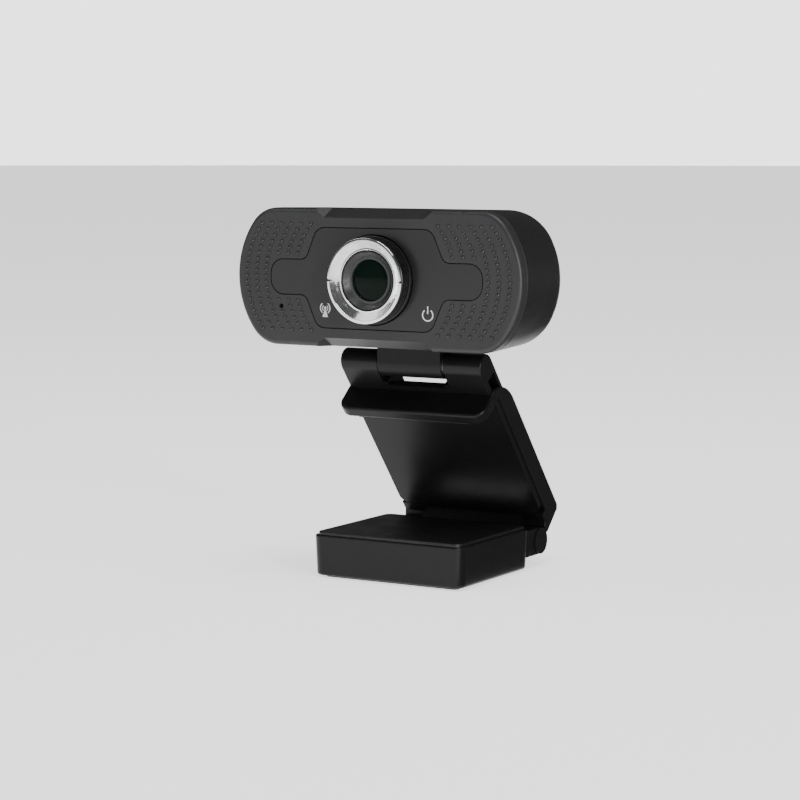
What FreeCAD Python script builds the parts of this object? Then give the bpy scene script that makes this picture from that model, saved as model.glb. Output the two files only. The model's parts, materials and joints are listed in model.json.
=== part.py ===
import FreeCAD, Part
import os, math
from FreeCAD import Vector as V

os.makedirs("parts", exist_ok=True)

# Frame: X across the camera, -Y the way the lens looks, +Z up.
# Origin: centre of the foot's underside, on the tripod thread's axis.

# ---- stand ----
LEAN = 39.4            # leg's lean from vertical, top forward, as built
TILT_Y, TILT_Z, TILT_R = -3.3, 55.7, 3.3      # upper hinge axis and barrel radius
FOOT_HY, FOOT_HZ, FOOT_HR = 25.8, 6.95, 3.5   # lower hinge axis and barrel radius
RISER_HW = 21.0        # half width of the riser and upper barrel
LEG_HW = 21.8          # half width of the leg shell
PANEL_HW = 21.5        # half width of the hook panel
KNUCKLE_HW = 9.35      # half width of the head's knuckle
TILT_GAP = 9.9         # inner face of the upper outer knuckles
RISER_F, RISER_R = -3.3, 3.3      # riser's front and rear planes, from the tilt axis
RISER_T = 1.5          # riser's plate thickness
SHELL_F, SHELL_R = -1.4, 4.75     # leg shell's front and rear planes
PANEL_F = -3.3         # hook panel's front plane
LIP_T0, LIP_T1 = 7.03, 10.2       # lip's upper and lower planes, down the leg
LIP_F = -10.96         # lip's front plane
LIP_CR = 3.6           # lip's corner radius
STRIP_HW, STRIP_T = 16.5, 0.9    # half width and thickness of the soft strip
PANEL_END = 51.3       # panel's lower end
BLOCK_F, NOSE_F = -3.15, -4.4    # lower block's front plane, and its nose over the foot hinge
KNUCKLE_R = 3.7        # head's knuckle
SLOT_HW, SLOT_T, SLOT_TR = 8.5, 5.3, 10.1    # slot under the knuckle: half width, lower edge at the front and at the rear
SHELL_END = 56.9       # shell's lower end
SHELL_WALL = 1.6
PIN_R = 1.25           # both hinge pins
PIN_FIT = 0.05         # running clearance on the pins, radial

# ---- foot ----
FOOT_HW_B, FOOT_HW_T = 21.85, 22.2   # half width at the bottom and the top
FOOT_YF, FOOT_YR = -18.95, 19.4
FOOT_Z0 = 0.6          # shell's lower edge
FOOT_Z1 = 11.1         # shell's top face
FOOT_PAD_Z = 12.0      # top pad's upper face
FOOT_CR = 3.0
LUG_IN, LUG_OUT = 15.0, 21.6
LEG_KNUCKLE_HW = 14.5
THREAD_R = 3.175       # 1/4 inch tripod thread, major radius
THREAD_LEN = 6.0

# ---- head ----
HEAD_F = -24.5         # front face
HEAD_D = 24.5          # depth
HEAD_Z = 78.4          # centre height
HEAD_HW = 41.6        # half width at the seam
HEAD_HH = 17.6         # half height at the seam
END_R = 22.0           # arc of each end
COR_R = 9.4            # blend between end arc and the long edges, at the front
COR_R2 = 14.4          # the same at the back
EDGE_R = 1.1           # front edge radius
SEAM = 3.9             # seam behind the front face
CROWN_R = 1000.0       # front face crown
TAPER = 0.4           # rear housing's inward taper
REAR_R = 3.0
WALL = 1.8
NOTCH_Z = 15.2
PLATE_HH = 12.87
TONGUE_HH = 4.65
TONGUE_X = 31.1
PLATE_T = 1.6
PLATE_GAP = 0.25
LENS_Z = HEAD_Z - 0.2
SLEEVE_R0, SLEEVE_R1 = 11.2, 10.8    # sleeve's outer radius at the plate and at the front
SLEEVE_OUT = 4.6       # how far the sleeve stands out
DISH_IN = 7.69
DISH_DEPTH = 1.65
CELL_R = 6.0           # lens cell's threaded barrel, major radius
CELL_FIT = 0.06
GLAND_Z = HEAD_Z - 5.0


def save(name, shape):
    if shape.ShapeType == "Compound" and len(shape.Solids) == 1:
        shape = shape.Solids[0]
    shape.exportStep("parts/%s.step" % name)
    print(name, len(shape.Solids), shape.isValid(), round(shape.Volume, 1))


def box(x0, x1, y0, y1, z0, z1):
    return Part.makeBox(x1 - x0, y1 - y0, z1 - z0, V(x0, y0, z0))


def cyl_x(x0, x1, y, z, r):
    return Part.makeCylinder(r, x1 - x0, V(x0, y, z), V(1, 0, 0))


def cyl_y(y0, y1, x, z, r):
    return Part.makeCylinder(r, y1 - y0, V(x, y0, z), V(0, 1, 0))


def cyl_z(z0, z1, x, y, r):
    return Part.makeCylinder(r, z1 - z0, V(x, y, z0), V(0, 0, 1))


def cone_y(y0, y1, x, z, r0, r1):
    return Part.makeCone(r0, r1, y1 - y0, V(x, y0, z), V(0, 1, 0))


def rounded(pts, place):
    """Closed wire through (u, v, radius) corners, each rounded by its radius."""
    n = len(pts)
    starts, ends, mids = [], [], []
    for i in range(n):
        u, v, r = pts[i]
        pu, pv, _ = pts[i - 1]
        nu, nv, _ = pts[(i + 1) % n]
        if r <= 0:
            starts.append((u, v)); ends.append((u, v)); mids.append(None)
            continue
        a = (pu - u, pv - v); b = (nu - u, nv - v)
        la = math.hypot(*a); lb = math.hypot(*b)
        a = (a[0] / la, a[1] / la); b = (b[0] / lb, b[1] / lb)
        half = math.acos(max(-1, min(1, a[0] * b[0] + a[1] * b[1]))) / 2
        t = r / math.tan(half)
        bis = (a[0] + b[0], a[1] + b[1]); lbis = math.hypot(*bis)
        c = (u + bis[0] / lbis * r / math.sin(half), v + bis[1] / lbis * r / math.sin(half))
        starts.append((u + a[0] * t, v + a[1] * t))
        ends.append((u + b[0] * t, v + b[1] * t))
        k = r / math.hypot(u - c[0], v - c[1])
        mids.append((c[0] + (u - c[0]) * k, c[1] + (v - c[1]) * k))
    edges = []
    for i in range(n):
        if mids[i]:
            edges.append(Part.Arc(place(*starts[i]), place(*mids[i]), place(*ends[i])).toShape())
        j = (i + 1) % n
        if math.hypot(ends[i][0] - starts[j][0], ends[i][1] - starts[j][1]) > 1e-6:
            edges.append(Part.makeLine(place(*ends[i]), place(*starts[j])))
    return Part.Wire(edges)


def prism(wire, vec):
    return Part.Face(wire).extrude(vec)


def xz(y):
    return lambda u, v: V(u, y, v)


def xy(z):
    return lambda u, v: V(u, v, z)


S, C = math.sin(math.radians(LEAN)), math.cos(math.radians(LEAN))
N = V(0, C, S)         # out of the leg's rear face
D = V(0, S, -C)        # down the leg
A = V(0, TILT_Y, TILT_Z)


def leg(x, s, t):
    return A + V(x, 0, 0) + N * s + D * t


def leg_profile(pts, x0, x1):
    w = rounded(pts, lambda s, t: leg(x0, s, t))
    return prism(w, V(x1 - x0, 0, 0))


def leg_face(pts, s0, s1):
    """Outline in (x, t), thickness from s0 to s1."""
    w = rounded(pts, lambda x, t: leg(x, s0, t))
    return prism(w, N * (s1 - s0))


def leg_cyl(x, t, s0, s1, r):
    return Part.makeCylinder(r, s1 - s0, leg(x, s0, t), N)


def try_fillet(shape, r, pick):
    edges = [e for e in shape.Edges if pick(e)]
    if not edges:
        return shape
    try:
        f = shape.makeFillet(r, edges)
        if f.isValid() and f.Volume > 0:
            return f
    except Exception as err:
        print("fillet", r, len(edges), err)
    return shape


def in_leg(p):
    q = p - A
    return q.dot(N), q.dot(D)


C_S, C_T = in_leg(V(0, FOOT_HY, FOOT_HZ))

# ============================ leg shell with riser ============================
top_arc = Part.Wire([
    Part.makeLine(leg(-LEG_HW, SHELL_F, LIP_T0), leg(-LEG_HW, -1.0, LIP_T0)),
    Part.Arc(leg(-LEG_HW, -1.0, LIP_T0), leg(-LEG_HW, 2.6, 9.6), leg(-LEG_HW, SHELL_R, 15.4)).toShape(),
    Part.makeLine(leg(-LEG_HW, SHELL_R, 15.4), leg(-LEG_HW, SHELL_R, SHELL_END - 1.2)),
    Part.makeLine(leg(-LEG_HW, SHELL_R, SHELL_END - 1.2), leg(-LEG_HW, SHELL_R - 1.0, SHELL_END)),
    Part.makeLine(leg(-LEG_HW, SHELL_R - 1.0, SHELL_END), leg(-LEG_HW, SHELL_F, SHELL_END)),
    Part.makeLine(leg(-LEG_HW, SHELL_F, SHELL_END), leg(-LEG_HW, SHELL_F, LIP_T0)),
])
shell = prism(top_arc, V(2 * LEG_HW, 0, 0))
shell = try_fillet(shell, 0.6, lambda e: abs(abs(e.CenterOfMass.x) - LEG_HW) < 0.01
                   and in_leg(e.CenterOfMass)[0] > SHELL_F + 0.5)
# hollow inside, open to the front, where the hook panel closes it
cavity = leg_face([(-LEG_HW + 2.2, 17.0, 2.0), (LEG_HW - 2.2, 17.0, 2.0),
                   (LEG_HW - 2.2, 48.0, 2.0), (-LEG_HW + 2.2, 48.0, 2.0)], SHELL_F - 1, SHELL_R - SHELL_WALL)
shell = shell.cut(cavity)
# stiffening ribs inside the leg
for x in (-9.0, 9.0):
    shell = shell.fuse(leg_face([(x - 0.6, 16.5, 0), (x + 0.6, 16.5, 0), (x + 0.6, 48.5, 0), (x - 0.6, 48.5, 0)],
                                1.2, SHELL_R - 0.5))
for t in (27.0, 38.0):
    shell = shell.fuse(leg_face([(-LEG_HW + 1.5, t - 0.6, 0), (LEG_HW - 1.5, t - 0.6, 0),
                                 (LEG_HW - 1.5, t + 0.6, 0), (-LEG_HW + 1.5, t + 0.6, 0)], 1.2, SHELL_R - 0.5))
BOSS = [(-16.0, 21.5), (16.0, 21.5), (-16.0, 43.5), (16.0, 43.5)]
for x, t in BOSS:
    shell = shell.fuse(leg_cyl(x, t, SHELL_F, SHELL_R - 0.5, 2.3))

# riser: barrel, front plate and rear plate, open between them
def riser_pt(s_, t_):
    return leg(-RISER_HW, s_, t_)


POCKET_T = 3.5
rp = [(RISER_F, 0), (RISER_F, LIP_T0 + 1.6), (SHELL_F + 0.3, LIP_T0 + 1.6), (SHELL_F + 0.3, LIP_T0),
      (RISER_F + RISER_T, LIP_T0), (RISER_F + RISER_T, POCKET_T), (RISER_R - RISER_T, POCKET_T),
      (RISER_R - RISER_T, 14.0), (RISER_R, 14.0), (RISER_R, 0)]
re = [Part.makeLine(riser_pt(*rp[i]), riser_pt(*rp[i + 1])) for i in range(len(rp) - 1)]
re.append(Part.Arc(riser_pt(RISER_R, 0), riser_pt(0, -TILT_R), riser_pt(RISER_F, 0)).toShape())
riser = prism(Part.Wire(re), V(2 * RISER_HW, 0, 0))
riser = try_fillet(riser, 0.55, lambda e: abs(abs(e.CenterOfMass.x) - RISER_HW) < 0.01
                   and (in_leg(e.CenterOfMass)[1] < -0.5 or
                        (abs(in_leg(e.CenterOfMass)[0] - RISER_F) < 0.05 and in_leg(e.CenterOfMass)[1] < LIP_T0) or
                        (abs(in_leg(e.CenterOfMass)[0] - RISER_R) < 0.05)))
# solid walls between the plates, beside the slot
for a, b in ((-14.0, -SLOT_HW), (SLOT_HW, 14.0)):
    riser = riser.fuse(leg_profile([(RISER_F + RISER_T - 0.1, POCKET_T - 0.3, 0), (RISER_R - RISER_T + 0.1, POCKET_T - 0.3, 0),
                                    (RISER_R - RISER_T + 0.1, 11.0, 0), (RISER_F + RISER_T + 0.5, 11.0, 0),
                                    (RISER_F + RISER_T + 0.5, LIP_T0 + 0.1, 0), (RISER_F + RISER_T - 0.1, LIP_T0, 0)], a, b))
# centre cut for the head's knuckle, in the front plate and the rear plate
riser = riser.cut(leg_profile([(RISER_F - 1, -6, 0), (RISER_R + 1, -6, 0), (RISER_R + 1, 4.2, 0),
                               (RISER_F - 1, 4.2, 0)], -TILT_GAP, TILT_GAP))
riser = riser.cut(leg_profile([(RISER_F - 1, 4.0, 0), (RISER_R + 1, 4.0, 0), (RISER_R + 1, SLOT_TR, 0),
                               (RISER_F + RISER_T, SLOT_TR, 0), (RISER_F + RISER_T, SLOT_T, 0),
                               (RISER_F - 1, SLOT_T, 0)], -SLOT_HW, SLOT_HW))
shell = shell.fuse(riser)
shell = shell.cut(leg_profile([(RISER_R - RISER_T - 2.0, 4.6, 0), (RISER_R + 3, 4.6, 0), (RISER_R + 3, SLOT_TR, 0),
                               (RISER_R - RISER_T - 2.0, SLOT_TR, 0)], -SLOT_HW, SLOT_HW))
# bore for the tilt pin: through on the left, blind on the right
shell = shell.cut(cyl_x(-RISER_HW - 1, RISER_HW - 1.2, TILT_Y, TILT_Z, PIN_R + 0.0))
shell = shell.cut(cyl_x(-RISER_HW - 1, -RISER_HW + 1.0, TILT_Y, TILT_Z, 2.0))

# block across the lower end, with a nose over the foot's hinge
block = leg_profile([(BLOCK_F, PANEL_END + 0.25, 0), (BLOCK_F, 54.0, 1.0), (NOSE_F, 55.4, 0.5), (NOSE_F, SHELL_END + 0.6, 0.5),
                     (2.0, SHELL_END, 0), (2.0, PANEL_END + 0.25, 0)], -LEG_HW, LEG_HW)
block = try_fillet(block, 0.45, lambda e: abs(abs(e.CenterOfMass.x) - LEG_HW) < 0.01
                   and in_leg(e.CenterOfMass)[0] < SHELL_F and in_leg(e.CenterOfMass)[1] > PANEL_END + 0.5)
shell = shell.fuse(block)
# lower knuckle and its web
web = leg_profile([(SHELL_F + 0.4, 52.2, 0), (C_S + 0.3, C_T - 2.9, 0), (C_S, C_T, 0),
                   (C_S + 1.0, SHELL_END, 0), (SHELL_F + 0.4, SHELL_END, 0)], -LEG_KNUCKLE_HW, LEG_KNUCKLE_HW)
knuckle = cyl_x(-LEG_KNUCKLE_HW, LEG_KNUCKLE_HW, FOOT_HY, FOOT_HZ, FOOT_HR)
shell = shell.fuse([web, knuckle])
shell = shell.cut(cyl_x(-LEG_HW - 1, LEG_HW + 1, FOOT_HY, FOOT_HZ, PIN_R + PIN_FIT))
for x, t in BOSS:
    shell = shell.cut(leg_cyl(x, t, SHELL_F - 0.1, 2.6, 0.8))
shell = shell.removeSplitter()
save("leg_shell", shell)

# ============================ hook panel ============================
panel = leg_face([(-PANEL_HW, LIP_T0 + 0.6, 0), (PANEL_HW, LIP_T0 + 0.6, 0), (PANEL_HW, PANEL_END, 2.8),
                  (-PANEL_HW, PANEL_END, 2.8)], PANEL_F, SHELL_F)
lip_w = rounded([(-LEG_HW, LIP_F, LIP_CR), (LEG_HW, LIP_F, LIP_CR), (LEG_HW, SHELL_F, 0), (-LEG_HW, SHELL_F, 0)],
                lambda x, s: leg(x, s, LIP_T0))
lip = prism(lip_w, D * (LIP_T1 - LIP_T0))
lip = try_fillet(lip, 0.7, lambda e: in_leg(e.CenterOfMass)[0] < SHELL_F - 0.3 and
                 (abs(in_leg(e.CenterOfMass)[1] - LIP_T0) < 0.01 or abs(in_leg(e.CenterOfMass)[1] - LIP_T1) < 0.01))
panel = panel.fuse(lip)
# relief for the foot of the riser's front plate
panel = panel.cut(leg_profile([(RISER_F - 0.05, LIP_T0 - 1, 0), (SHELL_F + 1, LIP_T0 - 1, 0),
                               (SHELL_F + 1, LIP_T0 + 1.65, 0), (RISER_F - 0.05, LIP_T0 + 1.65, 0)],
                              -RISER_HW - 0.05, RISER_HW + 0.05))
# pegs that press into the shell's bosses
for x, t in BOSS:
    panel = panel.fuse(leg_cyl(x, t, SHELL_F - 0.5, 2.2, 0.79))
panel = panel.removeSplitter()
save("hook_panel", panel)

# rubber strip under the lip
strip = leg_profile([(LIP_F + 0.8, LIP_T1, 0), (PANEL_F - 1.0, LIP_T1, 0), (PANEL_F - 1.0, LIP_T1 + STRIP_T, 0.35),
                     (LIP_F + 0.8, LIP_T1 + STRIP_T, 0.35)], -STRIP_HW, STRIP_HW)
save("lip_strip", strip)

# ============================ hinge hardware ============================
save("tilt_pin", cyl_x(-RISER_HW + 1.2, RISER_HW - 1.3, TILT_Y, TILT_Z, PIN_R))
save("tilt_plug", cyl_x(-RISER_HW, -RISER_HW + 1.0, TILT_Y, TILT_Z, 2.0))
w = []
for x0, x1 in ((-TILT_GAP, -TILT_GAP + 0.5), (TILT_GAP - 0.5, TILT_GAP)):
    w.append(cyl_x(x0, x1, TILT_Y, TILT_Z, 2.9).cut(cyl_x(x0, x1, TILT_Y, TILT_Z, PIN_R)))
save("tilt_washers", Part.makeCompound(w))


# ============================ foot ============================
def foot_wire(z, hw, yf, yr, r):
    return rounded([(-hw, yf, r), (hw, yf, r), (hw, yr, r), (-hw, yr, r)], xy(z))


foot = Part.makeLoft([foot_wire(FOOT_Z0, FOOT_HW_B, FOOT_YF + 0.3, FOOT_YR - 0.3, FOOT_CR),
                      foot_wire(FOOT_Z1, FOOT_HW_T, FOOT_YF, FOOT_YR, FOOT_CR)], True)
foot = try_fillet(foot, 0.7, lambda e: abs(e.CenterOfMass.z - FOOT_Z0) < 0.01)
foot = try_fillet(foot, 0.3, lambda e: abs(e.CenterOfMass.z - FOOT_Z1) < 0.01)
# recess for the top pad
foot = foot.cut(prism(foot_wire(FOOT_Z1 - 0.6, FOOT_HW_T - 0.75, FOOT_YF + 0.75, FOOT_YR - 0.75, 2.4), V(0, 0, 3)))
# hollow, open below
foot = foot.cut(prism(foot_wire(FOOT_Z0 - 1, FOOT_HW_B - 2.0, FOOT_YF + 2.3, FOOT_YR - 2.3, 1.5),
                      V(0, 0, 9.0 - FOOT_Z0 + 1)))
# outer knuckles
for sx in (-1, 1):
    a, b = sorted((sx * LUG_IN, sx * (LUG_OUT + 0.4)))
    barrel = cyl_x(a, b, FOOT_HY, FOOT_HZ, FOOT_HR)
    a, b = sorted((sx * LUG_IN, sx * LUG_OUT))
    webb = box(a, b, FOOT_YR - 1.5, FOOT_HY, FOOT_HZ - FOOT_HR, FOOT_HZ + FOOT_HR)
    foot = foot.fuse([barrel, webb])
FOOT_BOSS = [(-16.0, -13.0), (16.0, -13.0), (-16.0, 13.0), (16.0, 13.0)]
for x, y in FOOT_BOSS:
    foot = foot.fuse(cyl_z(2.6, 9.5, x, y, 2.2))
foot = foot.fuse(cyl_z(2.6, 9.5, 0, 0, 6.6))
for x in (-11.0, 11.0):
    foot = foot.fuse(box(x - 0.6, x + 0.6, FOOT_YF + 2.0, FOOT_YR - 2.0, 4.0, 9.5))
foot = foot.cut(cyl_z(0, 7.4, 0, 0, 4.5))
for x, y in FOOT_BOSS:
    foot = foot.cut(cyl_z(0, 7.4, x, y, 0.8))
foot = foot.cut(cyl_x(-LUG_OUT - 2, -LUG_IN + 0.1, FOOT_HY, FOOT_HZ, PIN_R))
foot = foot.cut(cyl_x(LUG_IN - 0.1, LUG_OUT - 0.8, FOOT_HY, FOOT_HZ, PIN_R))
foot = foot.cut(cyl_x(-LUG_OUT - 2, -LUG_OUT + 0.6, FOOT_HY, FOOT_HZ, 2.0))
foot = foot.removeSplitter()
save("foot_shell", foot)

pad = prism(foot_wire(FOOT_Z1 - 0.6, FOOT_HW_T - 0.85, FOOT_YF + 0.85, FOOT_YR - 0.85, 2.3),
            V(0, 0, FOOT_PAD_Z - FOOT_Z1 + 0.6))
pad = try_fillet(pad, 0.35, lambda e: abs(e.CenterOfMass.z - FOOT_PAD_Z) < 0.01)
save("foot_top_pad", pad)

plate = prism(foot_wire(1.2, FOOT_HW_B - 2.1, FOOT_YF + 2.4, FOOT_YR - 2.4, 1.4), V(0, 0, 1.4))
plate = plate.cut(cyl_z(0, 5, 0, 0, 4.5))
for x, y in FOOT_BOSS:
    plate = plate.cut(cyl_z(0, 5, x, y, 1.1))
    plate = plate.cut(cyl_z(0, 2.0, x, y, 2.0))
save("foot_base_plate", plate)

sheet = prism(foot_wire(0, FOOT_HW_B - 2.3, FOOT_YF + 2.6, FOOT_YR - 2.6, 1.2), V(0, 0, 1.2))
sheet = sheet.cut(cyl_z(-1, 3, 0, 0, 4.5))
save("foot_base_sheet", sheet)

insert = cyl_z(0, 7.4, 0, 0, 4.5).cut(cyl_z(-1, THREAD_LEN, 0, 0, THREAD_R))
save("tripod_insert", insert)

sc = []
for x, y in FOOT_BOSS:
    sc.append(cyl_z(1.25, 2.0, x, y, 1.9).fuse(cyl_z(2.0, 7.0, x, y, 0.8)))
save("foot_screws", Part.makeCompound(sc))

save("foot_pin", cyl_x(-LUG_OUT + 0.6, LUG_OUT - 0.8, FOOT_HY, FOOT_HZ, PIN_R))
save("foot_plug", cyl_x(-LUG_OUT - 0.4, -LUG_OUT + 0.6, FOOT_HY, FOOT_HZ, 2.0))
w = []
for x0, x1 in ((-LUG_IN, -LUG_IN + 0.45), (LUG_IN - 0.45, LUG_IN)):
    w.append(cyl_x(x0, x1, FOOT_HY, FOOT_HZ, 2.9).cut(cyl_x(x0, x1, FOOT_HY, FOOT_HZ, PIN_R)))
save("foot_washers", Part.makeCompound(w))


# ============================ head ============================
def outline(y, off=0.0, cor=COR_R):
    """Long rounded outline of the head, grown by off."""
    hw, hh = HEAD_HW + off, HEAD_HH + off
    R, r = END_R + 0.9 + off, cor + off
    xc = hw - R
    cz = hh - r
    cx = xc + math.sqrt((R - r) ** 2 - cz ** 2)
    L = R / (R - r)
    tx, tz = xc + (cx - xc) * L, cz * L
    ang = math.atan2(cz, cx - xc)
    am = (math.pi / 2 + ang) / 2
    mx, mz = cx + r * math.cos(am), cz + r * math.sin(am)

    def p(x, z):
        return V(x, y, HEAD_Z + z)
    e = [Part.makeLine(p(-cx, hh), p(cx, hh)),
         Part.Arc(p(cx, hh), p(mx, mz), p(tx, tz)).toShape(),
         Part.Arc(p(tx, tz), p(hw, 0), p(tx, -tz)).toShape(),
         Part.Arc(p(tx, -tz), p(mx, -mz), p(cx, -hh)).toShape(),
         Part.makeLine(p(cx, -hh), p(-cx, -hh)),
         Part.Arc(p(-cx, -hh), p(-mx, -mz), p(-tx, -tz)).toShape(),
         Part.Arc(p(-tx, -tz), p(-hw, 0), p(-tx, tz)).toShape(),
         Part.Arc(p(-tx, tz), p(-mx, mz), p(-cx, hh)).toShape()]
    return Part.Wire(e)


def plate_outline(y, off=0.0):
    k = 0.662 * off
    pts = [(16.8 + k, PLATE_HH + off, 3.5 + off), (20.3 + k, TONGUE_HH + off, 2.3 - off),
           (TONGUE_X + off, TONGUE_HH + off, 3.9 + off), (TONGUE_X + off, -TONGUE_HH - off, 3.9 + off),
           (20.3 + k, -TONGUE_HH - off, 2.3 - off), (16.8 + k, -PLATE_HH - off, 3.5 + off)]
    pts = pts + [(-x, z, r) for x, z, r in reversed(pts)]
    return rounded(pts, lambda u, v: V(u, y, HEAD_Z + v))


F = HEAD_F
crown = Part.makeCylinder(CROWN_R, 60, V(0, F + CROWN_R, HEAD_Z - 30), V(0, 0, 1))
crown2 = Part.makeCylinder(CROWN_R, 60, V(0, F + CROWN_R + 0.06, HEAD_Z - 30), V(0, 0, 1))

bezel = prism(outline(F - 0.5), V(0, SEAM + 0.5, 0)).common(crown)
bezel = try_fillet(bezel, EDGE_R, lambda e: e.BoundBox.YMax < F + 1.4)
# scooped top and bottom edges between the lobes
for sz in (1, -1):
    q = [(-19.0, 18.6), (-14.6, NOTCH_Z), (14.6, NOTCH_Z), (19.0, 18.6), (19.0, 22), (-19.0, 22)]
    w0 = rounded([(u, sz * v, 0) for u, v in q], lambda u, v: V(u, F - 1.9, HEAD_Z + v - sz * 1.1))
    bezel = bezel.cut(prism(w0, V(0, 9.0, sz * 5.2)))
bezel = bezel.cut(prism(plate_outline(F - 3), V(0, 3 + 1.7, 0)))
bezel = bezel.cut(prism(outline(F + 3.2, -0.85), V(0, 3, 0)))
bezel = bezel.cut(cyl_y(F - 5, F + 6, 0, LENS_Z, 11.5))
HB = [(-34.0, 7.6), (34.0, 7.6), (-34.0, -7.6), (34.0, -7.6)]
PB = [(-20.5, 8.5), (20.5, 8.5), (-20.5, -8.5), (20.5, -8.5)]
for x, z in HB:
    bezel = bezel.fuse(cyl_y(F + 3.0, F + 20.0, x, HEAD_Z + z, 2.3))
for x, z in PB:
    bezel = bezel.fuse(cyl_y(F + 3.0, F + 11.0, x, HEAD_Z + z, 2.0))
for x, z in HB:
    bezel = bezel.cut(cyl_y(F + 12.0, F + 21.0, x, HEAD_Z + z, 0.8))
for x, z in PB:
    bezel = bezel.cut(cyl_y(F + 5.0, F + 12.0, x, HEAD_Z + z, 0.7))
MIC_X, MIC_Z = -27.76, HEAD_Z - 7.6
bezel = bezel.cut(cyl_y(F - 1, F + 4, MIC_X, MIC_Z, 0.65))
bezel = bezel.removeSplitter()
save("front_bezel", bezel)

face = prism(plate_outline(F - 0.5, -PLATE_GAP), V(0, 0.5 + 1.7, 0)).common(crown2)
face = face.cut(cyl_y(F - 2, F + 3, 0, LENS_Z, 11.5))
save("face_plate", face)

house = Part.makeLoft([outline(F + SEAM + 0.2), outline(F + HEAD_D, -TAPER, COR_R2)], True)
house = try_fillet(house, REAR_R, lambda e: abs(e.CenterOfMass.y - (F + HEAD_D)) < 0.01)
house = try_fillet(house, 0.3, lambda e: abs(e.CenterOfMass.y - (F + SEAM + 0.2)) < 0.01)
house = house.fuse(prism(outline(F + 3.3, -0.95), V(0, 2.0, 0)))
house = house.cut(Part.makeLoft([outline(F + 3.2, -WALL), outline(F + HEAD_D - WALL, -WALL - TAPER, COR_R2)], True))
for x, z in HB:
    house = house.fuse(cyl_y(F + 20.05, F + HEAD_D - 1.0, x, HEAD_Z + z, 2.6))
for x, z in HB:
    house = house.cut(cyl_y(F + 19, F + 26, x, HEAD_Z + z, 1.05))
    house = house.cut(cyl_y(F + HEAD_D - 1.3, F + 26, x, HEAD_Z + z, 2.1))
# neck opening in the underside with a flat landing, cord opening in the back
NECK_HW, NECK_Y0, NECK_Y1 = KNUCKLE_HW, TILT_Y - KNUCKLE_R, TILT_Y + 1.4
FLZ = HEAD_Z - 14.2
house = house.fuse(box(-14.5, 14.5, NECK_Y0 - 0.8, NECK_Y1 + 0.3, HEAD_Z - 15.8, FLZ))
house = house.cut(box(-NECK_HW - 0.1, NECK_HW + 0.1, NECK_Y0 - 0.1, NECK_Y1 + 0.1, HEAD_Z - 20, HEAD_Z - 10))
NS = [(-12.2, NECK_Y0 + 2.3), (12.2, NECK_Y0 + 2.3)]
for x, y in NS:
    house = house.cut(cyl_z(FLZ - 1.8, FLZ + 1, x, y, 0.7))
house = house.cut(cyl_y(F + 20, F + 26, 0, GLAND_Z, 3.0))
house = house.removeSplitter()
save("rear_housing", house)

# head's knuckle
kn = cyl_x(-KNUCKLE_HW, KNUCKLE_HW, TILT_Y, TILT_Z, KNUCKLE_R)
kn = kn.fuse(box(-NECK_HW, NECK_HW, NECK_Y0, NECK_Y1, TILT_Z, FLZ + 1.5))
kn = kn.fuse(box(-14.3, 14.3, NECK_Y0, NECK_Y1, FLZ, FLZ + 1.5))
kn = kn.cut(cyl_x(-12, 12, TILT_Y, TILT_Z, PIN_R + PIN_FIT))
for x, y in NS:
    kn = kn.cut(cyl_z(FLZ - 1, FLZ + 3, x, y, 0.9))
kn = kn.removeSplitter()
save("neck_knuckle", kn)
save("neck_screws", Part.makeCompound([cyl_z(FLZ + 1.5, FLZ + 2.4, x, y, 1.5).fuse(
    cyl_z(FLZ - 1.7, FLZ + 1.5, x, y, 0.7)) for x, y in NS]))

save("housing_screws", Part.makeCompound([cyl_y(F + HEAD_D - 1.3, F + HEAD_D - 0.3, x, HEAD_Z + z, 1.8).fuse(
    cyl_y(F + 13.0, F + HEAD_D - 1.3, x, HEAD_Z + z, 0.8)) for x, z in HB]))

# circuit board, sensor and its screws
board = box(-26.0, 26.0, F + 11.0, F + 12.4, HEAD_Z - 11.0, HEAD_Z + 11.0)
for x, z in PB:
    board = board.cut(cyl_y(F + 10, F + 13, x, HEAD_Z + z, 0.9))
save("main_board", board)
save("board_screws", Part.makeCompound([cyl_y(F + 12.4, F + 13.4, x, HEAD_Z + z, 1.6).fuse(
    cyl_y(F + 6.0, F + 12.4, x, HEAD_Z + z, 0.7)) for x, z in PB]))
save("image_sensor", box(-3.6, 3.6, F + 10.1, F + 11.0, LENS_Z - 3.6, LENS_Z + 3.6))

# fixed lens holder with the threaded tube
HOLD_R = 8.0
holder = cyl_y(F + 3.3, F + 9.1, 0, LENS_Z, HOLD_R).fuse(box(-8.6, 8.6, F + 8.2, F + 11.0, LENS_Z - 8.6, LENS_Z + 8.6))
holder = holder.cut(cyl_y(F + 3.0, F + 8.6, 0, LENS_Z, CELL_R + CELL_FIT))
holder = holder.cut(cyl_y(F + 8.0, F + 9.3, 0, LENS_Z, 3.4))
holder = holder.cut(box(-4.6, 4.6, F + 9.1, F + 11.5, LENS_Z - 4.6, LENS_Z + 4.6))
save("lens_holder", holder)
save("filter_glass", box(-4.3, 4.3, F + 9.1, F + 9.6, LENS_Z - 4.3, LENS_Z + 4.3))

# focus sleeve: turns on the holder's tube, held behind the bezel by its flange
slv = cone_y(F - SLEEVE_OUT + 0.6, F - 0.45, 0, LENS_Z, SLEEVE_R1, SLEEVE_R0 - 0.15)
slv = slv.fuse(cyl_y(F - 0.45, F + 4.6, 0, LENS_Z, SLEEVE_R0))
slv = slv.fuse(cyl_y(F + 3.4, F + 4.6, 0, LENS_Z, 12.7))
slv = slv.cut(cyl_y(F - 6, F + 3.0, 0, LENS_Z, 9.9))
slv = slv.fuse(cyl_y(F + 3.0, F + 7.6, 0, LENS_Z, 9.9))
slv = slv.cut(cyl_y(F + 2, F + 8, 0, LENS_Z, HOLD_R + 0.05))
save("focus_sleeve", slv.removeSplitter())

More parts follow.
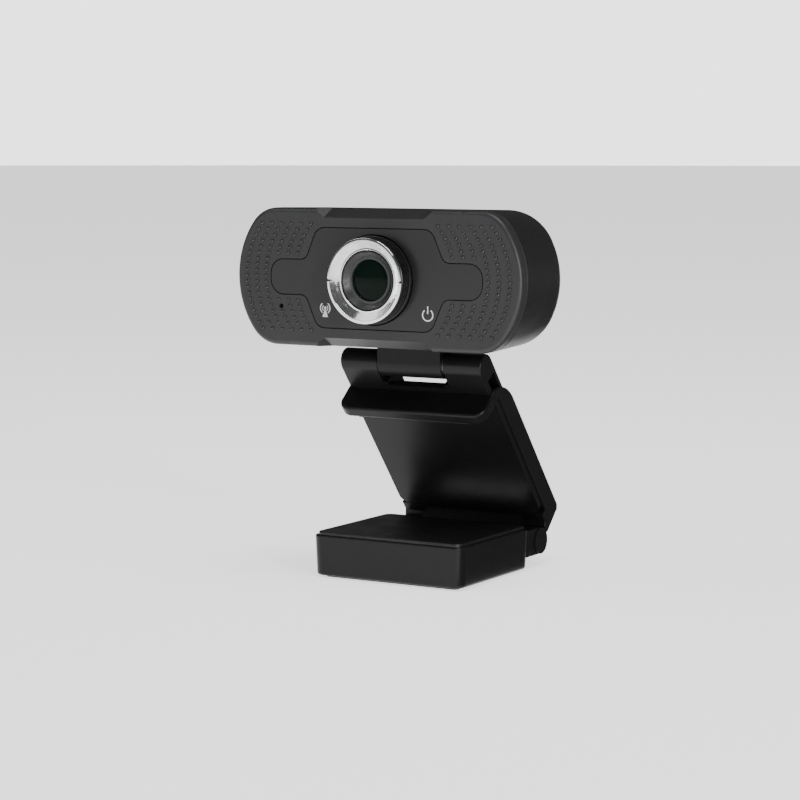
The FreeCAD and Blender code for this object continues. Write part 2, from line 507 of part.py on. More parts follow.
# dished front ring, pressed into the sleeve
import_y = F - SLEEVE_OUT
dish_pts = [(10.75, import_y), (10.75, import_y + 0.6), (9.9, import_y + 0.6), (9.9, F - 0.6), (8.9, F - 0.6),
            (8.9, import_y + DISH_DEPTH + 0.9), (DISH_IN, import_y + DISH_DEPTH + 0.6),
            (DISH_IN, import_y + DISH_DEPTH), (10.45, import_y)]
dish_w = Part.makePolygon([V(r, y, LENS_Z) for r, y in dish_pts + dish_pts[:1]])
dish = Part.Face(dish_w).revolve(V(0, 0, LENS_Z), V(0, 1, 0), 360)
# two index notches at three and nine o'clock
for sx in (1, -1):
    tri = Part.makePolygon([V(sx * 11.2, import_y - 0.2, LENS_Z - 0.75), V(sx * 11.2, import_y - 0.2, LENS_Z + 0.75),
                            V(sx * 9.55, import_y - 0.2, LENS_Z), V(sx * 11.2, import_y - 0.2, LENS_Z - 0.75)])
    dish = dish.cut(Part.Face(tri).extrude(V(0, 0.75, 0)))
save("dish_ring", dish)

# lens cell with its dark inner cone, slides inside the ring and the holder
y0 = import_y + DISH_DEPTH
cell_pts = [(7.39, y0 + 0.1), (7.39, F + 2.7), (CELL_R, F + 2.7), (CELL_R, F + 8.1), (3.6, F + 8.1), (3.6, F + 6.6),
            (4.6, F + 6.6), (4.6, F + 1.3), (5.85, F + 1.3), (5.85, F - 1.65), (7.1, y0 + 0.1)]
cell_w = Part.makePolygon([V(r, y, LENS_Z) for r, y in cell_pts + cell_pts[:1]])
save("lens_cell", Part.Face(cell_w).revolve(V(0, 0, LENS_Z), V(0, 1, 0), 360))

# lens group
RG = 19.3
ball = Part.makeSphere(RG, V(0, F - 1.75 + RG, LENS_Z))
glass = cyl_y(F - 1.8, F + 1.3, 0, LENS_Z, 5.45).common(ball).fuse(cyl_y(F - 0.95, F + 1.3, 0, LENS_Z, 5.85))
save("front_glass", glass.removeSplitter())
ring = cyl_y(F - 1.65, F - 1.05, 0, LENS_Z, 5.85).cut(cyl_y(F - 2, F - 0.5, 0, LENS_Z, 5.3))
save("glass_ring", ring)
baf = cyl_y(F + 1.3, F + 2.6, 0, LENS_Z, 4.6).cut(cone_y(F + 1.3, F + 2.6, 0, LENS_Z, 3.6, 1.6))
save("aperture_stop", baf)
ball2 = Part.makeSphere(8.0, V(0, F + 2.9 + 8.0, LENS_Z))
lens2 = cyl_y(F + 2.8, F + 5.4, 0, LENS_Z, 4.6).common(ball2).fuse(cyl_y(F + 4.9, F + 5.4, 0, LENS_Z, 4.6))
save("rear_glass", lens2.removeSplitter())

# microphone and its boot
boot = cyl_y(F + 3.2, F + 6.4, MIC_X, MIC_Z, 3.2).cut(cyl_y(F + 3.8, F + 7, MIC_X, MIC_Z, 2.2)).cut(
    cyl_y(F + 3, F + 4, MIC_X, MIC_Z, 0.7))
save("mic_boot", boot)
save("mic_capsule", cyl_y(F + 3.8, F + 6.0, MIC_X, MIC_Z, 2.2))

# cord gland in the back
gl = cyl_y(F + HEAD_D, F + HEAD_D + 1.6, 0, GLAND_Z, 4.2).fuse(cyl_y(F + HEAD_D - WALL, F + HEAD_D, 0, GLAND_Z, 3.0))
gl = gl.fuse(cyl_y(F + HEAD_D - WALL - 1.4, F + HEAD_D - WALL, 0, GLAND_Z, 4.0))
gl = gl.cut(cyl_y(F + 15, F + 30, 0, GLAND_Z, 1.8))
gl = try_fillet(gl, 0.5, lambda e: abs(e.CenterOfMass.y - (F + HEAD_D + 1.6)) < 0.01 and e.Length > 15)
save("cord_gland", gl)
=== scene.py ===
import json
import math
import random

import bmesh
import bpy
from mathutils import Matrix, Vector


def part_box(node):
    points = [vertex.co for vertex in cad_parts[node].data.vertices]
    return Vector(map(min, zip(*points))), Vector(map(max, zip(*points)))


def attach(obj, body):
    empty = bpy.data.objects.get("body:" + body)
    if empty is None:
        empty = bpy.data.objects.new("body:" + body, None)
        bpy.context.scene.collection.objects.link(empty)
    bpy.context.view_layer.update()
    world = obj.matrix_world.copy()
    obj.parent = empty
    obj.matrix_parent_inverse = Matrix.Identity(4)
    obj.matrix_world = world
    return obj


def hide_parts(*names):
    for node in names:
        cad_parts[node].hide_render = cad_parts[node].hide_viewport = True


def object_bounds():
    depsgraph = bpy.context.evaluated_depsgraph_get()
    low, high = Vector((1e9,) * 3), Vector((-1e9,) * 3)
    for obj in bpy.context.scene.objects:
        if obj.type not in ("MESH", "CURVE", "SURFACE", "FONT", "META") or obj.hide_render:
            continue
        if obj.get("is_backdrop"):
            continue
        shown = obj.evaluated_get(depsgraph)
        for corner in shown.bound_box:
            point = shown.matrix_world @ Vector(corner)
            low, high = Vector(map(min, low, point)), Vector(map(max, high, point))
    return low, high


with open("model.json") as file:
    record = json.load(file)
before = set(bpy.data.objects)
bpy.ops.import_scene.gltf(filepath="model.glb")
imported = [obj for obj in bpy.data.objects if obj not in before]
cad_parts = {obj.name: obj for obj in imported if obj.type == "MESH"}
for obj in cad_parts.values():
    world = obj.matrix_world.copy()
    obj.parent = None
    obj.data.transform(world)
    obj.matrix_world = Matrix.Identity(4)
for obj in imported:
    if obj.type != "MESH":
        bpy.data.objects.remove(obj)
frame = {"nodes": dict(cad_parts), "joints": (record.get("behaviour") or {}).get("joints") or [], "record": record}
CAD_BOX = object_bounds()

MM = 0.001
nodes, record = frame["nodes"], frame["record"]
joints = {j["name"]: j for j in frame["joints"]}
LX, _, LZ = joints["focus_turn"]["pos_m"]          # the lens axis
HEAD_LO, HEAD_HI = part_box("front_bezel")
HZ = (HEAD_LO.z + HEAD_HI.z) / 2                   # middle height of the head
FY = joints["focus_turn"]["pos_m"][1]              # the head's front plane
CROWN = 1.0                                        # crown radius of the front, in metres
DISH_LO, DISH_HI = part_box("dish_ring")
SLV_LO, SLV_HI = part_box("focus_sleeve")
CELL_LO, CELL_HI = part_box("lens_cell")


# ------------------------------------------------------------------ materials
class Mat:
    def __init__(self, name):
        self.m = bpy.data.materials.new(name)
        self.m.use_nodes = True
        self.t = self.m.node_tree
        self.t.nodes.clear()
        self.out = self.t.nodes.new("ShaderNodeOutputMaterial")
        self.p = self.t.nodes.new("ShaderNodeBsdfPrincipled")
        self.t.links.new(self.p.outputs[0], self.out.inputs[0])
        tc = self.t.nodes.new("ShaderNodeTexCoord")
        self.co = tc.outputs["Object"]
        self.normal = None

    def set(self, **kw):
        for k, v in kw.items():
            s = self.p.inputs[k.replace("_", " ")]
            s.default_value = tuple(v) + (1.0,) if isinstance(v, (tuple, list)) and len(v) == 3 else v
        return self

    def node(self, kind, **kw):
        n = self.t.nodes.new(kind)
        for k, v in kw.items():
            setattr(n, k, v)
        return n

    def link(self, a, b):
        self.t.links.new(a, b)

    def noise(self, scale, detail=2.0, rough=0.5, co=None):
        n = self.node("ShaderNodeTexNoise")
        n.inputs["Scale"].default_value = scale
        n.inputs["Detail"].default_value = detail
        n.inputs["Roughness"].default_value = rough
        self.link(co or self.co, n.inputs["Vector"])
        return n.outputs["Fac"]

    def voronoi(self, scale, co=None, feature="F1"):
        n = self.node("ShaderNodeTexVoronoi", feature=feature)
        n.inputs["Scale"].default_value = scale
        self.link(co or self.co, n.inputs["Vector"])
        return n.outputs["Distance"]

    def remap(self, src, a, b, c, d):
        n = self.node("ShaderNodeMapRange")
        for i, v in zip(("From Min", "From Max", "To Min", "To Max"), (a, b, c, d)):
            n.inputs[i].default_value = v
        self.link(src, n.inputs["Value"])
        return n.outputs["Result"]

    def math(self, op, a, b=None):
        n = self.node("ShaderNodeMath", operation=op)
        for i, v in enumerate((a, b)):
            if v is None:
                continue
            if isinstance(v, (int, float)):
                n.inputs[i].default_value = v
            else:
                self.link(v, n.inputs[i])
        return n.outputs[0]

    def ramp(self, src, stops):
        n = self.node("ShaderNodeValToRGB")
        e = n.color_ramp.elements
        while len(e) < len(stops):
            e.new(0.5)
        for el, (pos, col) in zip(e, stops):
            el.position = pos
            el.color = tuple(col) + (1.0,)
        self.link(src, n.inputs["Fac"])
        return n.outputs["Color"]

    def bump(self, height, dist, strength=1.0):
        n = self.node("ShaderNodeBump")
        n.inputs["Strength"].default_value = strength
        n.inputs["Distance"].default_value = dist
        self.link(height, n.inputs["Height"])
        if self.normal is not None:
            self.link(self.normal, n.inputs["Normal"])
        self.normal = n.outputs["Normal"]
        self.link(self.normal, self.p.inputs["Normal"])
        return self

    def base(self, sock):
        self.link(sock, self.p.inputs["Base Color"])

    def rough(self, sock):
        self.link(sock, self.p.inputs["Roughness"])


def grey(v, tint=(1, 1, 1)):
    return tuple(v * t for t in tint)


def moulded(name, lo, hi, r0, r1, grain=3200.0, depth=0.000011, spec=0.5, tint=(1, 1, 1.06)):
    """Moulded plastic with a spark-eroded grain, faint colour drift and handling marks."""
    m = Mat(name)
    drift = m.noise(60.0, 3.0)
    fine = m.noise(grain, 3.0, 0.6)
    m.base(m.ramp(m.math("ADD", m.math("MULTIPLY", drift, 0.55), m.math("MULTIPLY", fine, 0.45)),
                  [(0.33, grey(lo, tint)), (0.67, grey(hi, tint))]))
    m.rough(m.remap(m.math("ADD", m.math("MULTIPLY", m.noise(140.0, 4.0), 0.6), m.math("MULTIPLY", fine, 0.4)),
                    0.3, 0.7, r0, r1))
    m.bump(m.voronoi(grain * 0.8), depth, 0.8)
    m.bump(fine, depth * 1.3, 0.8)
    m.set(Specular_IOR_Level=spec)
    return m.m


M = {}
M["stand"] = moulded("stand_plastic", 0.0048, 0.0074, 0.27, 0.36, 3000.0, 0.000012, 0.22)
M["bezel"] = moulded("bezel_plastic", 0.018, 0.024, 0.36, 0.46, 4200.0, 0.000008, 0.40)
M["housing"] = moulded("housing_plastic", 0.010, 0.014, 0.36, 0.46, 3400.0, 0.00001, 0.27)
M["knuckle"] = moulded("knuckle_plastic", 0.0044, 0.0066, 0.36, 0.46, 3400.0, 0.00001, 0.22)
# the dots are moulded in the bezel's own plastic; this copy is glossier, and its darker base colour is painted shade
M["dot"] = moulded("dot_plastic_painted_shade", 0.010, 0.014, 0.20, 0.30, 6000.0, 0.000003, 0.50)

m = Mat("face_plate_gloss")                        # polished plate: fine waviness, faint dust and rub marks
m.base(m.ramp(m.noise(90.0, 4.0), [(0.3, grey(0.013, (1, 1, 1.06))), (0.7, grey(0.015, (1, 1, 1.06)))]))
m.rough(m.remap(m.noise(40.0, 2.0, 0.5), 0.35, 0.7, 0.27, 0.29))
m.bump(m.noise(900.0, 2.0), 0.000001, 0.4)
m.set(Specular_IOR_Level=0.36, Coat_Weight=0.08, Coat_Roughness=0.20)
M["plate"] = m.m

m = Mat("foot_pad_plastic")
m.base(m.ramp(m.noise(80.0, 3.0), [(0.3, grey(0.0065)), (0.7, grey(0.0095))]))
m.rough(m.remap(m.noise(220.0, 4.0), 0.3, 0.7, 0.30, 0.42))
m.bump(m.noise(2400.0, 3.0), 0.000006, 0.8)
m.set(Specular_IOR_Level=0.42)
M["pad"] = m.m

m = Mat("soft_rubber")
m.base(m.ramp(m.noise(120.0, 4.0), [(0.3, grey(0.008)), (0.7, grey(0.014))]))
m.rough(m.remap(m.noise(500.0, 4.0), 0.3, 0.7, 0.62, 0.82))
m.bump(m.noise(2600.0, 4.0, 0.7), 0.00002, 0.8)
m.set(Specular_IOR_Level=0.35)
M["rubber"] = m.m


def turned(name, base0, base1, r0, r1, dist, fine=9000.0):
    """Lathe-turned metal about the lens axis: fine concentric tool marks."""
    m = Mat(name)
    off = m.node("ShaderNodeVectorMath", operation="SUBTRACT")
    off.inputs[1].default_value = (LX, 0.0, LZ)
    m.link(m.co, off.inputs[0])
    flat = m.node("ShaderNodeVectorMath", operation="MULTIPLY")
    flat.inputs[1].default_value = (1.0, 0.0, 1.0)
    m.link(off.outputs[0], flat.inputs[0])
    ln = m.node("ShaderNodeVectorMath", operation="LENGTH")
    m.link(flat.outputs[0], ln.inputs[0])
    radius = ln.outputs["Value"]
    n = m.node("ShaderNodeTexNoise", noise_dimensions="1D")
    n.inputs["Scale"].default_value = fine
    n.inputs["Detail"].default_value = 3.0
    m.link(radius, n.inputs["W"])
    marks = n.outputs["Fac"]
    m.base(m.ramp(m.math("ADD", m.math("MULTIPLY", marks, 0.5), m.math("MULTIPLY", m.noise(500.0, 3.0), 0.5)),
                  [(0.3, base0), (0.7, base1)]))
    m.rough(m.remap(marks, 0.3, 0.7, r0, r1))
    m.bump(marks, dist, 0.9)
    m.set(Metallic=1.0)
    return m.m


M["silver"] = turned("silver_turned", (0.74, 0.75, 0.76), (0.92, 0.92, 0.92), 0.08, 0.16, 0.000003)

m = Mat("sleeve_black")
m.base(m.ramp(m.noise(300.0, 3.0), [(0.3, grey(0.006)), (0.7, grey(0.010))]))
m.rough(m.remap(m.noise(500.0, 3.0), 0.3, 0.7, 0.24, 0.32))
m.bump(m.noise(5200.0, 3.0), 0.000002, 0.5)
m.set(Specular_IOR_Level=0.32)
M["sleeve"] = m.m

m = Mat("cell_black")
m.base(m.ramp(m.noise(900.0, 3.0), [(0.3, grey(0.006, (1, 1.05, 1.04))), (0.7, grey(0.012, (1, 1.05, 1.04)))]))
m.rough(m.remap(m.noise(1200.0, 3.0), 0.3, 0.7, 0.34, 0.5))
m.bump(m.noise(7000.0, 3.0), 0.000004, 0.8)
m.set(Specular_IOR_Level=0.5)
M["cell"] = m.m

m = Mat("ring_grey")
m.base(m.ramp(m.noise(900.0, 3.0), [(0.3, grey(0.024, (1, 1.06, 1.06))), (0.7, grey(0.038, (1, 1.06, 1.06)))]))
m.rough(m.remap(m.noise(1500.0, 3.0), 0.3, 0.7, 0.26, 0.4))
m.bump(m.noise(7000.0, 3.0), 0.000004, 0.7)
M["ring"] = m.m

m = Mat("coated_glass")
m.base(m.ramp(m.noise(160.0, 2.0), [(0.35, (0.0035, 0.0085, 0.0058)), (0.65, (0.0045, 0.0075, 0.0068))]))
m.rough(m.remap(m.noise(1200.0, 4.0), 0.35, 0.75, 0.03, 0.07))
m.set(Specular_IOR_Level=0.06)
M["glass"] = m.m

m = Mat("clear_filter")
m.base(m.ramp(m.noise(160.0, 2.0), [(0.35, (0.35, 0.55, 0.55)), (0.65, (0.42, 0.6, 0.58))]))
m.rough(m.remap(m.noise(900.0, 4.0), 0.35, 0.75, 0.03, 0.08))
m.set(Transmission_Weight=0.9, IOR=1.52)
M["filter"] = m.m

m = Mat("white_print")
m.base(m.ramp(m.noise(2500.0, 3.0), [(0.3, (0.60, 0.60, 0.60)), (0.7, (0.74, 0.74, 0.74))]))
m.rough(m.remap(m.noise(3000.0, 3.0), 0.3, 0.7, 0.5, 0.7))
m.bump(m.noise(9000.0, 3.0), 0.000004, 0.6)
M["print"] = m.m


def metal(name, c0, c1, r0, r1, stretch=(1, 1, 14)):
    m = Mat(name)
    mp = m.node("ShaderNodeMapping")
    mp.inputs["Scale"].default_value = stretch
    m.link(m.co, mp.inputs["Vector"])
    lines = m.noise(1400.0, 4.0, 0.6, mp.outputs[0])
    m.base(m.ramp(lines, [(0.3, c0), (0.7, c1)]))
    m.rough(m.remap(lines, 0.3, 0.7, r0, r1))
    m.bump(lines, 0.000004, 0.8)
    m.set(Metallic=1.0)
    return m.m


M["screw"] = metal("black_oxide_steel", (0.045, 0.045, 0.047), (0.085, 0.085, 0.088), 0.30, 0.44)
M["steel"] = metal("plated_steel", (0.42, 0.42, 0.43), (0.60, 0.60, 0.60), 0.24, 0.40)
M["brass"] = metal("machined_brass", (0.60, 0.42, 0.18), (0.80, 0.62, 0.32), 0.22, 0.36)

m = Mat("solder_mask")
tr = m.voronoi(900.0)
m.base(m.ramp(tr, [(0.0, (0.010, 0.085, 0.035)), (1.0, (0.018, 0.13, 0.055))]))
m.rough(m.remap(m.noise(700.0, 3.0), 0.3, 0.7, 0.28, 0.42))
m.bump(tr, 0.00001, 0.6)
M["board"] = m.m

m = Mat("sensor_ceramic")
m.base(m.ramp(m.noise(1500.0, 3.0), [(0.3, (0.03, 0.03, 0.045)), (0.7, (0.06, 0.05, 0.075))]))
m.rough(m.remap(m.noise(1500.0, 3.0), 0.3, 0.7, 0.15, 0.3))
M["sensor"] = m.m

PAINT = {
    "stand": ["foot_shell", "leg_shell", "hook_panel", "foot_base_plate", "tilt_plug", "foot_plug"],
    "pad": ["foot_top_pad"],
    "rubber": ["foot_base_sheet", "lip_strip", "mic_boot", "cord_gland"],
    "bezel": ["front_bezel"],
    "housing": ["rear_housing"],
    "knuckle": ["neck_knuckle"],
    "plate": ["face_plate"],
    "sleeve": ["focus_sleeve"],
    "silver": ["dish_ring"],
    "cell": ["lens_cell", "aperture_stop", "lens_holder"],
    "ring": ["glass_ring"],
    "glass": ["front_glass", "rear_glass"],
    "filter": ["filter_glass"],
    "steel": ["tilt_pin", "foot_pin", "tilt_washers", "foot_washers", "foot_screws", "neck_screws",
              "housing_screws", "board_screws", "mic_capsule"],
    "brass": ["tripod_insert"],
    "board": ["main_board"],
    "sensor": ["image_sensor"],
}
for key, names in PAINT.items():
    for n in names:
        o = nodes[n]
        o.data.materials.clear()
        o.data.materials.append(M[key])


# ------------------------------------------------------------------ building helpers
def obj_from(name, bm, mat, smooth=True, angle=35.0):
    me = bpy.data.meshes.new(name)
    bmesh.ops.recalc_face_normals(bm, faces=bm.faces)
    bm.to_mesh(me)
    bm.free()
    o = bpy.data.objects.new(name, me)
    bpy.context.scene.collection.objects.link(o)
    me.materials.append(mat)
    if smooth:
        for p in me.polygons:
            p.use_smooth = True
        me.set_sharp_from_angle(angle=math.radians(angle))
    return o


def lathe(name, profile, mat, seg=192, angle=28.0):
    """Closed profile [(radius, y)] in mm turned about the lens axis."""
    bm = bmesh.new()
    rings = []
    for r, y in profile:
        rings.append([bm.verts.new((LX + r * MM * math.cos(2 * math.pi * i / seg), y * MM,
                                    LZ + r * MM * math.sin(2 * math.pi * i / seg))) for i in range(seg)])
    n = len(rings)
    for a in range(n):
        ra, rb = rings[a], rings[(a + 1) % n]
        for i in range(seg):
            j = (i + 1) % seg
            bm.faces.new((ra[i], ra[j], rb[j], rb[i]))
    return obj_from(name, bm, mat, True, angle)


def front_y(x, lift=0.0):
    """The crowned front's y at x, both in metres, lifted outward."""
    return FY + x * x / (2 * CROWN) - lift


# ------------------------------------------------------------------ raised dots on the lobes
def add_dome(bm, x, z, seg=14):
    prof = [(0.52, -0.015), (0.49, 0.030), (0.45, 0.150), (0.37, 0.270), (0.25, 0.355), (0.12, 0.395)]
    rings = []
    for r, h in prof:
        ring = []
        for i in range(seg):
            a = 2 * math.pi * i / seg
            px, pz = x + r * MM * math.cos(a), z + r * MM * math.sin(a)
            ring.append(bm.verts.new((px, front_y(px, h * MM), pz)))
        rings.append(ring)
    top = bm.verts.new((x, front_y(x, 0.405 * MM), z))
    foot = bm.verts.new((x, front_y(x, -0.03 * MM), z))
    for a, b in zip(rings, rings[1:]):
        for i in range(seg):
            j = (i + 1) % seg
            bm.faces.new((a[i], a[j], b[j], b[i]))
    for i in range(seg):
        j = (i + 1) % seg
        bm.faces.new((rings[-1][i], rings[-1][j], top))
        bm.faces.new((rings[0][j], rings[0][i], foot))


bm = bmesh.new()
DOT_Z0 = HZ + 0.1 * MM
for row in range(1, 20):
    dz = (10 - row) * 1.5
    edge = 38.45 - (21.1 - math.sqrt(21.1 ** 2 - dz ** 2))
    count = 6 if (row <= 6 or row >= 14) else 3
    for side in (-1, 1):
        for k in range(count):
            if side < 0 and row == 15 and k == 3:
                continue                            # the microphone hole is here
            add_dome(bm, side * (edge - 3.0 * k) * MM, DOT_Z0 + dz * MM)
dots = obj_from("bezel_dots", bm, M["dot"], True, 180.0)
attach(dots, "head")


# ------------------------------------------------------------------ pictograms
def flat_piece(name, shapes, cx, cz, lift=0.03):
    """Thin raised print on the plate. shapes: (outer, inner) lists of (x, z) in mm about (cx, cz); inner None for a full shape."""
    bm = bmesh.new()

    def at(x, z, up):
        px, pz = (cx + x) * MM, (cz + z) * MM
        y = front_y(px) + 0.06 * MM
        return bm.verts.new((px, y - lift * MM if up else y + 0.02 * MM, pz))

    for outer, inner in shapes:
        if inner is None:
            hi, lo = [at(x, z, True) for x, z in outer], [at(x, z, False) for x, z in outer]
            bm.faces.new(hi)
            bm.faces.new(list(reversed(lo)))
            for i in range(len(outer)):
                j = (i + 1) % len(outer)
                bm.faces.new((lo[i], lo[j], hi[j], hi[i]))
            continue
        oh, ol = [at(x, z, True) for x, z in outer], [at(x, z, False) for x, z in outer]
        ih, il = [at(x, z, True) for x, z in inner], [at(x, z, False) for x, z in inner]
        for i in range(len(outer) - 1):
            bm.faces.new((oh[i], oh[i + 1], ih[i + 1], ih[i]))
            bm.faces.new((ol[i], il[i], il[i + 1], ol[i + 1]))
            bm.faces.new((ol[i], ol[i + 1], oh[i + 1], oh[i]))
            bm.faces.new((il[i], ih[i], ih[i + 1], il[i + 1]))
        for k in (0, -1):
            bm.faces.new((oh[k], ih[k], il[k], ol[k]))
    return obj_from(name, bm, M["print"], False)


def arc_band(r0, r1, a0, a1, n=28, cx=0.0, cz=0.0):
    angles = [math.radians(a0 + (a1 - a0) * i / n) for i in range(n + 1)]
    return ([(cx + r1 * math.cos(t), cz + r1 * math.sin(t)) for t in angles],
            [(cx + r0 * math.cos(t), cz + r0 * math.sin(t)) for t in angles])


ICON_Z = HZ / MM - 8.2
power = flat_piece("power_pictogram", [
    arc_band(1.30, 1.60, 128, 412, 48, 0.0, -0.25),
    ([(-0.15, 0.05), (0.15, 0.05), (0.15, 1.90), (-0.15, 1.90)], None),
], 15.7, ICON_Z)
disc = [(0.37 * math.cos(2 * math.pi * i / 24), 0.55 + 0.37 * math.sin(2 * math.pi * i / 24)) for i in range(24)]
radio = flat_piece("radio_pictogram", [
    ([(-0.80, -1.75), (0.80, -1.75), (0.20, 0.12), (-0.20, 0.12)], None),
    (disc, None),
    arc_band(0.70, 0.90, -52, 52, 16, 0.0, 0.50), arc_band(0.70, 0.90, 128, 232, 16, 0.0, 0.50),
    arc_band(1.28, 1.58, -55, 55, 20, 0.0, 0.50), arc_band(1.28, 1.58, 125, 235, 20, 0.0, 0.50),
], -14.3, ICON_Z)
for o in (power, radio):
    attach(o, "head")


# ------------------------------------------------------------------ focus ring: turned dish with grooves and two index notches
Y0 = DISH_LO.y / MM                                 # front of the rim
RO = (DISH_HI.x - DISH_LO.x) / MM / 2               # 10.75
RI = 7.69
prof = [(RO, Y0 + 0.10), (RO - 0.06, Y0 + 0.03), (RO - 0.13, Y0)]
prof += [(RO - 0.62, Y0), (RO - 0.70, Y0 + 0.05)]
r_start, r_end, y_start, y_end = RO - 0.78, RI + 0.40, Y0 + 0.17, Y0 + 1.66
n_groove = 8
for i in range(n_groove):
    t0, t1 = i / n_groove, (i + 1) / n_groove
    ra, rb = r_start + (r_end - r_start) * t0, r_start + (r_end - r_start) * t1
    ya, yb = y_start + (y_end - y_start) * t0, y_start + (y_end - y_start) * t1
    w = ra - rb
    prof += [(ra, ya), (ra - w * 0.42, ya + (yb - ya) * 0.42 - 0.020), (ra - w * 0.60, ya + (yb - ya) * 0.5 + 0.130),
             (ra - w * 0.80, ya + (yb - ya) * 0.8 + 0.100)]
prof += [(r_end, y_end), (r_end - 0.10, y_end - 0.02), (RI + 0.08, y_end - 0.02), (RI, y_end + 0.05), (RI, Y0 + 2.2),
         (8.9, Y0 + 2.55), (8.9, FY / MM - 0.6), (9.85, FY / MM - 0.6), (9.85, Y0 + 0.6), (RO, Y0 + 0.6)]
dish = lathe("focus_dish", prof, M["silver"], 256, 24.0)
cut = bmesh.new()
for sx in (1, -1):
    for dz, hw, r_in, depth in ((0.0, 0.62, RO - 1.75, 0.85),):
        a = [(sx * (RO + 0.6), dz - hw), (sx * (RO + 0.6), dz + hw), (sx * r_in, dz + 0.02), (sx * r_in, dz - 0.02)]
        lo = [cut.verts.new((LX + x * MM, (Y0 - 0.6) * MM, LZ + z * MM)) for x, z in a]
        hi = [cut.verts.new((LX + x * MM, (Y0 + depth) * MM, LZ + z * 0.35 * MM)) for x, z in a]
        cut.faces.new(lo)
        cut.faces.new(list(reversed(hi)))
        for i in range(4):
            j = (i + 1) % 4
            cut.faces.new((lo[j], lo[i], hi[i], hi[j]))
cutter = obj_from("notch_cutter", cut, M["silver"], False)
mod = dish.modifiers.new("notches", "BOOLEAN")
mod.operation, mod.solver, mod.object = "DIFFERENCE", "EXACT", cutter
deps = bpy.context.evaluated_depsgraph_get()
new = bpy.data.meshes.new_from_object(dish.evaluated_get(deps))
dish.modifiers.clear()
dish.data = new
dish.data.materials.clear()
dish.data.materials.append(M["silver"])
for p in dish.data.polygons:
    p.use_smooth = True
    p.material_index = 0
dish.data.set_sharp_from_angle(angle=math.radians(24))
bpy.data.objects.remove(cutter)
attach(dish, "focus")
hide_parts("dish_ring")

# sleeve behind it: two ridges and a base flange, as turned by the fingers
FYm = FY / MM
S1 = 10.8
prof = [(9.92, Y0 + 0.62), (S1 - 0.12, Y0 + 0.62), (S1, Y0 + 0.74), (S1 + 0.05, Y0 + 1.55)]
for i in range(2):
    y = Y0 + 1.55 + i * 0.95
    prof += [(S1 + 0.06, y), (S1 - 0.22, y + 0.10), (S1 - 0.22, y + 0.32), (S1 + 0.08, y + 0.42), (S1 + 0.10, y + 0.90)]
prof += [(S1 + 0.12, FYm - 0.98), (S1 - 0.05, FYm - 0.90), (S1 - 0.05, FYm - 0.72), (11.02, FYm - 0.66), (11.14, FYm - 0.60),
         (11.19, FYm - 0.48), (11.19, FYm + 3.38), (12.68, FYm + 3.42), (12.68, FYm + 4.58), (9.88, FYm + 4.6), (9.88, FYm + 7.58), (8.06, FYm + 7.58),
         (8.06, FYm + 3.02), (9.88, FYm + 3.0)]
sleeve = lathe("focus_sleeve_ridged", prof, M["sleeve"], 192, 30.0)
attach(sleeve, "focus")
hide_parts("focus_sleeve")

# ------------------------------------------------------------------ screws in the back: heads with cross recesses
S_LO, S_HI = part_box("housing_screws")
src = nodes["housing_screws"]
me = src.data.copy()
me.transform(src.matrix_world)
screws = bpy.data.objects.new("housing_screws_crossed", me)
bpy.context.scene.collection.objects.link(screws)
HR = 1.8 * MM
for bar in (0, 1):
    cut = bmesh.new()
    for cx in (S_LO.x + HR, S_HI.x - HR):
        for cz in (S_LO.z + HR, S_HI.z - HR):
            rows = []
            for y, k in ((S_HI.y + 0.3 * MM, 1.15), (S_HI.y - 0.75 * MM, 0.55)):
                long_, wide = 1.10 * MM * k, 0.24 * MM * k
                dx, dz = (long_, wide) if bar == 0 else (wide, long_)
                rows.append([cut.verts.new((cx + sx * dx, y, cz + sz * dz)) for sx, sz in ((-1, -1), (1, -1), (1, 1), (-1, 1))])
            cut.faces.new(rows[0])
            cut.faces.new(list(reversed(rows[1])))
            for i in range(4):
                j = (i + 1) % 4
                cut.faces.new((rows[0][j], rows[0][i], rows[1][i], rows[1][j]))
    cutter = obj_from("cross_cutter", cut, M["screw"], False)
    mod = screws.modifiers.new("cross", "BOOLEAN")
    mod.operation, mod.solver, mod.object = "DIFFERENCE", "EXACT", cutter
    new = bpy.data.meshes.new_from_object(screws.evaluated_get(bpy.context.evaluated_depsgraph_get()))
    screws.modifiers.clear()
    screws.data = new
    bpy.data.objects.remove(cutter)
screws.data.materials.clear()
screws.data.materials.append(M["screw"])
for f in screws.data.polygons:
    f.use_smooth = True
    f.material_index = 0
screws.data.set_sharp_from_angle(angle=math.radians(28))
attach(screws, "head")
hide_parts("housing_screws")

# ------------------------------------------------------------------ floor, lights and camera
bm = bmesh.new()
n, R = 96, 14.0
ring = [bm.verts.new((R * math.cos(2 * math.pi * i / n), R * math.sin(2 * math.pi * i / n), 0.0)) for i in range(n)]
bm.faces.new(ring)
fm = Mat("studio_floor")
fm.base(fm.ramp(fm.noise(3.0, 3.0), [(0.3, (0.87, 0.87, 0.87)), (0.7, (0.90, 0.90, 0.90))]))
fm.rough(fm.remap(fm.noise(8.0, 3.0), 0.3, 0.7, 0.8, 0.9))
fm.set(Specular_IOR_Level=0.1, Emission_Color=(1.0, 1.0, 1.0), Emission_Strength=1.25)
floor = obj_from("studio_floor", bm, fm.m, False)
floor.location.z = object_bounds()[0][2] - 0.00005 if not isinstance(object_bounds()[0], (int, float)) else 0.0
floor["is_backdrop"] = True

world = bpy.data.worlds.new("studio")
bpy.context.scene.world = world
world.use_nodes = True
wt = world.node_tree
bg = wt.nodes["Background"]
bg.inputs["Color"].default_value = (1.0, 1.0, 1.0, 1.0)
bg.inputs["Strength"].default_value = 0.10
seen = wt.nodes.new("ShaderNodeBackground")
seen.inputs["Color"].default_value = (1.0, 1.0, 1.0, 1.0)
seen.inputs["Strength"].default_value = 2.8
path = wt.nodes.new("ShaderNodeLightPath")
pick = wt.nodes.new("ShaderNodeMixShader")
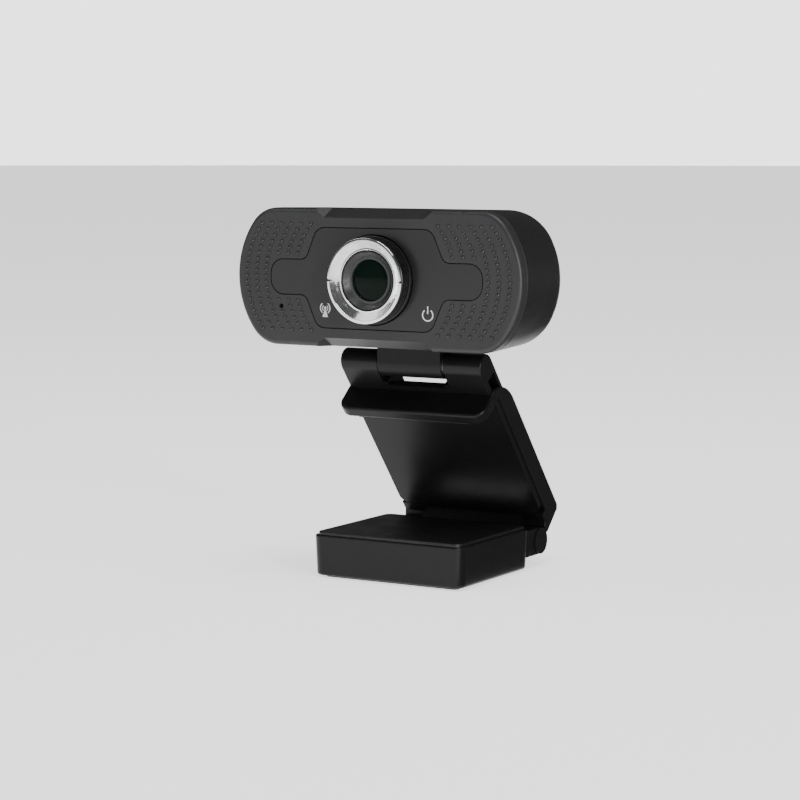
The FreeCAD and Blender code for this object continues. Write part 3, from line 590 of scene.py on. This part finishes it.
wt.links.new(path.outputs["Is Camera Ray"], pick.inputs["Fac"])
wt.links.new(bg.outputs[0], pick.inputs[1])
wt.links.new(seen.outputs[0], pick.inputs[2])
wt.links.new(pick.outputs[0], wt.nodes["World Output"].inputs["Surface"])


def area(name, loc, aim, size, power, size_y=None):
    d = bpy.data.lights.new(name, "AREA")
    d.shape, d.size, d.size_y, d.energy = "RECTANGLE", size, size_y or size, power
    o = bpy.data.objects.new(name, d)
    bpy.context.scene.collection.objects.link(o)
    o.location = loc
    o.rotation_euler = (Vector(aim) - Vector(loc)).to_track_quat("-Z", "Y").to_euler()
    o.visible_camera = False
    return o


MID = (0.0, 0.0, 0.055)
area("top_soft", (0.30, -0.16, 1.10), MID, 0.80, 8.0)
area("card_left", (-0.62, -0.55, 0.80), MID, 0.62, 2.4)
area("strip_right", (0.98, -0.60, 0.18), MID, 0.12, 12.0, size_y=0.80)

# black flags on the right, which only reflections see
bm = bmesh.new()
for pts in (((0.42, -0.12, -0.1), (0.42, 1.3, -0.1), (0.42, 1.3, 0.6), (0.42, -0.12, 0.6)),
            ((0.0236, -0.022, 0.0003), (0.42, -0.12, 0.0003), (0.42, 1.3, 0.0003), (0.0236, 1.3, 0.0003))):
    bm.faces.new([bm.verts.new(q) for q in pts])
km = Mat("black_flag")
km.base(km.ramp(km.noise(30.0, 2.0), [(0.3, grey(0.10)), (0.7, grey(0.14))]))
km.set(Roughness=1.0, Specular_IOR_Level=0.0)
flag = obj_from("black_flag", bm, km.m, False)
flag.visible_camera = flag.visible_diffuse = flag.visible_shadow = flag.visible_transmission = False
flag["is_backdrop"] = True

cam = bpy.data.cameras.new("camera")
cam.lens, cam.sensor_width = 109.63, 36.0
cam.clip_start, cam.clip_end = 0.01, 100.0
co = bpy.data.objects.new("camera", cam)
bpy.context.scene.collection.objects.link(co)
co.location = (0.3159, -0.5469, 0.1115)
co.rotation_euler = (math.radians(84.062), math.radians(-0.03), math.radians(30.530))
bpy.context.scene.camera = co


def plain(b):
    return [[float(c) for c in v] if hasattr(v, "__len__") else float(v) for v in b]


{"cad": plain(CAD_BOX), "visual": plain(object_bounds())}
